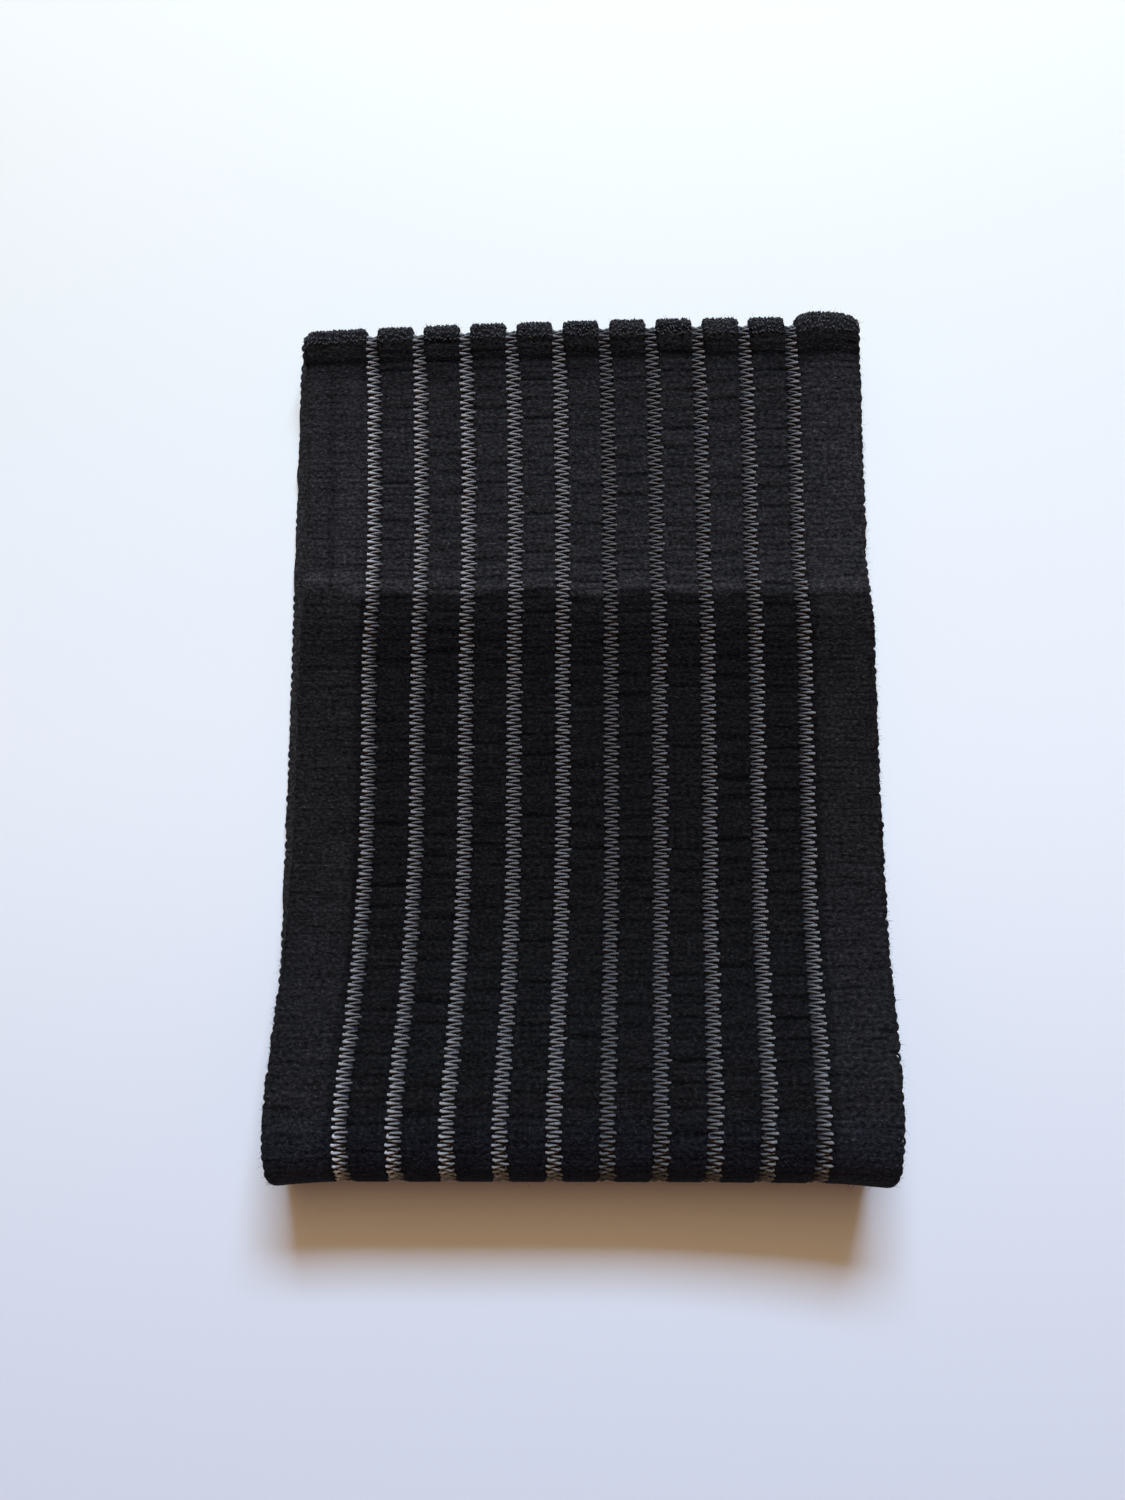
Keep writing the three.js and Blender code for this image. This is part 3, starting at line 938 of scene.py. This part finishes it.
def stitches(name, starts, ends, radius, lift):
    """Short threads between places (s, x) on the outer face, with both ends sunk into the cloth."""
    share = np.linspace(0, 1, STITCH_RINGS)
    at = starts[:, None] + (ends - starts)[:, None] * share[:, None]
    s, x = at[..., 0], at[..., 1]
    arch = np.sqrt(np.sin(math.pi * share))
    out = outer_face(s, x) - seam_crease(s) - STITCH_SUNK + (lift + STITCH_SUNK) * arch
    return add_mesh(name, *tubes(place(s, x, out), radius * MM, outward(s), STITCH_SIDES))


def hem_seam():
    """A row of stitches across the band, along the seam of the hem."""
    x = np.arange(HEM_SEAM_FROM, HEM_SEAM_TO, HEM_STITCH_PITCH)
    wander = spread(HEM_WANDER, len(x))
    starts = np.stack([SEAM_S + wander, x], axis=1)
    ends = np.stack([SEAM_S + np.roll(wander, 1), x + STITCH_LONG], axis=1)
    return stitches("hem_seam", starts, ends, radius=0.1, lift=-0.03)


def patch_seam():
    """A row of stitches along the left side of the patch."""
    s = np.arange(SEAM_S + PATCH_SEAM_START, PATCH_EDGE_S - PATCH_SEAM_STOP, PATCH_STITCH_PITCH)
    x = np.full_like(s, PATCH_SEAM_X)
    starts = np.stack([s, x], axis=1)
    ends = np.stack([s + STITCH_LONG, x + spread(PATCH_WANDER, len(s))], axis=1)
    return stitches("patch_seam", starts, ends, radius=0.13, lift=-0.02)


# Loops standing on the ridge of the hem

LOOP_RINGS = 5
LOOP_SIDES = 5
LOOP_RADIUS = 0.095
LOOP_ROW = 0.36
LOOP_SPACING = 0.42
LOOPS_BEFORE = 3.4
LOOPS_AFTER = 0.7
LOOPS_IN_LEFT = 0.4
LOOPS_IN_RIGHT = 0.2
LOOP_ROW_JITTER = 0.15
LOOP_JITTER = 0.2
LOOP_TURN = 0.9
LOOP_HALF = (0.12, 0.2)
LOOP_RISE = (0.12, 0.3)
LOOP_SUNK = 0.08


def ridge_loops():
    """Small arches of yarn on the ribs, from the turn of the hem to just over its ridge."""
    rows = np.arange(RIDGE_S - LOOPS_BEFORE, RIDGE_S + LOOPS_AFTER, LOOP_ROW)
    columns = np.arange(LOOPS_IN_LEFT - HALF_WIDTH, HALF_WIDTH - LOOPS_IN_RIGHT, LOOP_SPACING)
    s, x = (grid.ravel() for grid in np.meshgrid(rows, columns))
    kept = lane_distance(x) > NOTCH_MOUTH
    s, x = s[kept][:, None], x[kept][:, None]
    s = s + spread(LOOP_ROW_JITTER, s.shape)
    x = x + spread(LOOP_JITTER, x.shape)
    turn = spread(LOOP_TURN, s.shape)
    half = RNG.uniform(*LOOP_HALF, s.shape)
    rise = RNG.uniform(*LOOP_RISE, s.shape)
    share = np.linspace(-1, 1, LOOP_RINGS)
    s, x = s + share * half * np.sin(turn), x + share * half * np.cos(turn)
    paths = place(s, x, half_thickness(x) - LOOP_SUNK + rise * (1 - share**2))
    return add_mesh("ridge_loops", *tubes(paths, LOOP_RADIUS * MM, outward(s), LOOP_SIDES))


# Loops along the selvedges

EDGE_PITCH = 1.24
EDGE_LOOP_RINGS = 7
EDGE_LOOP_SIDES = 6
EDGE_LOOP_RADIUS = 0.175
EDGE_LOOP_ROOT = 0.25
EDGE_LOOP_REACH = 0.36
REACH_RANGE = (0.75, 1.2)
HALF_RANGE = (0.4, 0.5)
EDGE_JITTER = 0.16
EDGE_OUT = 0.12


def edge_loops():
    """The turns of the yarn at both selvedges, as rows of arches."""
    middle = np.arange(HIDDEN_S, LENGTH - EDGE_PITCH, EDGE_PITCH)
    sides = np.repeat([-1.0, 1.0], len(middle))[:, None]
    s = np.tile(middle, 2)[:, None] + spread(EDGE_JITTER, sides.shape)
    half = EDGE_PITCH * RNG.uniform(*HALF_RANGE, sides.shape)
    reach = EDGE_LOOP_REACH * RNG.uniform(*REACH_RANGE, sides.shape)
    share = np.linspace(-1, 1, EDGE_LOOP_RINGS)
    s = s + half * share
    x = sides * (HALF_WIDTH - EDGE_LOOP_ROOT + reach * np.sqrt(1 - share**2))
    paths = place(s, x, spread(EDGE_OUT, sides.shape))
    return add_mesh("edge_loops", *tubes(paths, EDGE_LOOP_RADIUS * MM, outward(s), EDGE_LOOP_SIDES))


# Loose fibres

FIBRE_RINGS = 4
FIBRE_SIDES = 3
FIBRE_RADIUS = 0.024
FIBRE_TIP = 0.35
FIBRE_CURL = 0.45
FIBRE_SUNK = 0.08
FIBRE_LOWEST = 0.02
FIBRE_MARGIN = 1.0
UNDER_FOLD = 6.0
VIEW_END_S = FLOOR_S - UNDER_FOLD

# Rows of count, first and last place along the course, lengths, and how steeply the fibres stand
FIBRES = (
    (1800, RIDGE_S - 2.2, RIDGE_S + 2.0, (0.25, 0.6), (0.3, 0.8)),
    (2600, SEAM_S, PATCH_EDGE_S, (0.3, 0.8), (0.05, 0.35)),
    (2600, PATCH_EDGE_S, VIEW_END_S, (0.3, 0.9), (0.05, 0.35)),
)

# Fibres at the selvedges stand outwards, and most of them are short.
EDGE_FIBRES = 2800
EDGE_FIBRE_IN = 0.2
EDGE_FIBRE_ZONE = 0.6
EDGE_FIBRE_TURN = 0.6
EDGE_FIBRE_LONG = (0.3, 0.8)
EDGE_FIBRE_POWER = 2.2
EDGE_FIBRE_LIFT = (-0.3, 0.5)


def fibre_set(s, x, long, lift):
    """Fine hairs from places (s, x): paths and up vectors. lift is how steeply they leave the cloth."""
    count = len(s)
    out = outward(s)
    across = np.array([1.0, 0.0, 0.0])
    forward = np.cross(out, across)
    turn = RNG.uniform(0, 2 * math.pi, count)[:, None]
    flat = across * np.cos(turn) + forward * np.sin(turn)
    edge = (np.abs(x) > HALF_WIDTH - EDGE_FIBRE_ZONE)[:, None]
    outwards = across * np.sign(x)[:, None] + EDGE_FIBRE_TURN * forward * np.sin(turn)
    flat = np.where(edge, outwards, flat)
    start = place(s, x, outer_face(s, x) - FIBRE_SUNK)
    heading = flat * (1 - lift[:, None]) + out * lift[:, None]
    curl = RNG.normal(size=(count, 3)) * FIBRE_CURL
    share = np.linspace(0, 1, FIBRE_RINGS)[None, :, None]
    reach = (long * MM)[:, None, None]
    paths = start[:, None] + reach * (heading[:, None] * share + curl[:, None] * share**2)
    paths[..., 2] = np.maximum(paths[..., 2], FIBRE_LOWEST * MM)
    ups = np.broadcast_to(np.cross(heading, flat[:, [1, 2, 0]])[:, None], paths.shape)
    return paths, ups


def loose_fibres():
    """Hairs over the outer face and along both selvedges."""
    sets = []
    for count, first, last, lengths, lifts in FIBRES:
        s = RNG.uniform(first, last, count)
        x = spread(HALF_WIDTH - FIBRE_MARGIN, count)
        sets.append((s, x, RNG.uniform(*lengths, count), RNG.uniform(*lifts, count)))
    s = RNG.uniform(HIDDEN_S, VIEW_END_S, EDGE_FIBRES)
    x = RNG.choice([-1.0, 1.0], EDGE_FIBRES) * (HALF_WIDTH - EDGE_FIBRE_IN)
    long = RNG.uniform(*EDGE_FIBRE_LONG, EDGE_FIBRES) ** EDGE_FIBRE_POWER
    sets.append((s, x, long, RNG.uniform(*EDGE_FIBRE_LIFT, EDGE_FIBRES)))
    paths, ups = zip(*(fibre_set(*one) for one in sets))
    taper = FIBRE_RADIUS * MM * np.linspace(1, FIBRE_TIP, FIBRE_RINGS)
    return add_mesh("loose_fibres", *tubes(np.concatenate(paths), taper, np.concatenate(ups), FIBRE_SIDES))


# Closure patch

PATCH_BEVEL = 0.4
BEVEL_STEPS = 2
HOOK_ROWS = 6
HOOK_PITCH = (1.1, 1.35)
HOOK_INSET = 1.0
HOOK_CORNER = 4.5
HOOK_DROP = 0.3
HOOK_REACH = 0.32
HOOK_BEND = 0.8 * math.pi
HOOK_JITTER = 0.1
HOOK_RADIUS = 0.07
HOOK_RINGS = 6
HOOK_SIDES = 4


def hook_patch():
    """The patch's own solid with its edges rounded."""
    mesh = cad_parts["hook_patch"].data.copy()
    piece = bpy.data.objects.new("hook_tape", mesh)
    mesh.materials.clear()
    bpy.context.scene.collection.objects.link(piece)
    rounding = piece.modifiers.new("rounded edges", "BEVEL")
    rounding.width = PATCH_BEVEL * MM
    rounding.segments = BEVEL_STEPS
    return piece


def tape_hooks():
    """Bent hooks under the tape, in rows along its two open sides."""
    low, high = (np.array(corner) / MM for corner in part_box("hook_patch"))
    rows = HOOK_INSET + np.arange(HOOK_ROWS) * HOOK_PITCH[0]
    beside = np.concatenate([low[0] + rows, high[0] - rows])
    ahead = np.arange(low[1] + HOOK_CORNER, high[1] - HOOK_CORNER, HOOK_PITCH[1])
    x, y = (grid.ravel() for grid in np.meshgrid(beside, ahead))
    lean = RNG.choice([-1.0, 1.0], len(x))[:, None]
    bend = np.linspace(0, HOOK_BEND, HOOK_RINGS)
    path_x = (x + spread(HOOK_JITTER, len(x)))[:, None]
    path_y = y[:, None] + lean * HOOK_REACH / 2 * (1 - np.cos(bend))
    path_z = low[2] + HOOK_RADIUS - (HOOK_DROP - HOOK_RADIUS) * np.sin(bend)
    paths = np.stack(np.broadcast_arrays(path_x, path_y, path_z), axis=-1) * MM
    across = np.broadcast_to(np.array([1.0, 0.0, 0.0]), paths.shape)
    return add_mesh("tape_hooks", *tubes(paths, HOOK_RADIUS * MM, across, HOOK_SIDES))


# Stage, light and camera

# Side of the floor in metres
FLOOR_SIZE = 6

# Colour of the sky at heights from the horizon, 0, to overhead, 1
SKY = (
    (0.0, (0.62, 0.62, 0.66)),
    (0.12, (0.62, 0.62, 0.66)),
    (0.28, (0.105, 0.062, 0.056)),
    (1.0, (0.165, 0.072, 0.039)),
)

# Lights: the direction they stand in, their distance and size in metres, their watts and their colour
KEY = {
    "toward": (0.07, 1.0, 0.905),
    "distance": 0.7,
    "size": (0.32, 0.16),
    "power": 8.75,
    "colour": (0.455, 0.645, 1.0),
}
WARM_FILL = {
    "toward": (0.0, 0.53, 1.0),
    "distance": 0.8,
    "size": (0.5, 0.5),
    "power": 2.2,
    "colour": (1.0, 0.73, 0.44),
}

# Camera, fitted to the straight lanes of the band: its place, and its angles in degrees
CAMERA_PLACE = (-1.26, -14.05, 158.24)
CAMERA_ANGLES = (4.524, 0.367, -0.03)
FOCAL_PIXELS = 1130
IMAGE_HEIGHT = 1500
SENSOR = 36.0
CLIP_START = 10.0


def camera():
    data = bpy.data.cameras.new("camera")
    data.sensor_width = SENSOR
    data.lens = FOCAL_PIXELS / IMAGE_HEIGHT * SENSOR
    data.clip_start = CLIP_START * MM
    made = bpy.data.objects.new("camera", data)
    offset = Vector((CENTRE_X, CENTRE_Y, 0))
    made.location = (Vector(CAMERA_PLACE) + offset) * MM
    made.rotation_euler = Euler([math.radians(angle) for angle in CAMERA_ANGLES])
    bpy.context.scene.collection.objects.link(made)
    bpy.context.scene.camera = made


def area_light(name, toward, distance, size, power, colour):
    """A light of a width and a height in the direction toward, facing the object."""
    data = bpy.data.lights.new(name, "AREA")
    data.shape = "RECTANGLE"
    data.size, data.size_y = size
    data.energy = power
    data.color = colour
    made = bpy.data.objects.new(name, data)
    direction = Vector(toward).normalized()
    made.location = direction * distance
    made.rotation_euler = direction.to_track_quat("Z", "Y").to_euler()
    bpy.context.scene.collection.objects.link(made)


def sky_colour(tree):
    """Warm light from overhead and a pale horizon."""
    direction = tree.nodes.new("ShaderNodeTexCoord")
    parts = tree.nodes.new("ShaderNodeSeparateXYZ")
    tree.links.new(direction.outputs["Generated"], parts.inputs[0])
    colour = ramp(tree, parts.outputs["Z"], SKY)
    tree.links.new(colour, tree.nodes["Background"].inputs["Color"])


def stage():
    bpy.ops.mesh.primitive_plane_add(size=FLOOR_SIZE)
    floor = bpy.context.object
    floor.name = "floor"
    floor.data.materials.append(floor_material())
    world = bpy.data.worlds.new("studio")
    world.use_nodes = True
    sky_colour(world.node_tree)
    bpy.context.scene.world = world
    bpy.context.scene.view_settings.view_transform = "Standard"
    area_light("key", **KEY)
    area_light("warm fill", **WARM_FILL)
    camera()


# The two sheets with the pieces that go with them


def lane_spans():
    """Spans of the zigzag threads on the outer face and on the inner face."""
    turn = math.floor(courses_at(FLOOR_S))
    end = math.floor(courses_at(LENGTH)) - 1
    closely = zigzag_knots()["share"][:-1]
    plainly = np.arange(HIDDEN_RINGS) / HIDDEN_RINGS + ZIGZAG[1, 0]
    outer = [(1, turn, closely, VIEW_SIDES), (turn, end, plainly, HIDDEN_SIDES)]
    return outer, [(1, end, plainly, HIDDEN_SIDES)]


def build_band():
    """The knitted band with its threads, loops, seams and fibres."""
    band = dress(elastic_band(), knit_material())
    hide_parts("elastic_band")
    pale = thread_material("pale_thread", *PALE_THREAD, varied=True)
    loop = thread_material("lit_knit_loop", *LIT_KNIT_LOOP)
    turned = thread_material("edge_loop", *EDGE_LOOP, specular=0.1)
    black = thread_material("black_thread", *BLACK_THREAD, specular=0.02)
    fibre = thread_material("fibre", *FIBRE)
    outer, inner = lane_spans()
    left, right = range(LANE_COUNT // 2), range(LANE_COUNT // 2, LANE_COUNT)
    extras = [
        dress(lane_threads("lane_threads_left", left, outer, 1), pale),
        dress(lane_threads("lane_threads_right", right, outer, 1), pale),
        dress(lane_threads("lane_threads_inside", range(LANE_COUNT), inner, -1), pale),
        dress(ridge_loops(), loop),
        dress(edge_loops(), turned),
        dress(hem_seam(), black),
        dress(patch_seam(), turned),
        dress(loose_fibres(), fibre),
    ]


def build_patch():
    """The closure patch with its hooks."""
    tape = hook_material()
    patch = dress(hook_patch(), tape)
    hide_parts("hook_patch")
    hooks = dress(tape_hooks(), tape)


build_band()
build_patch()
stage()
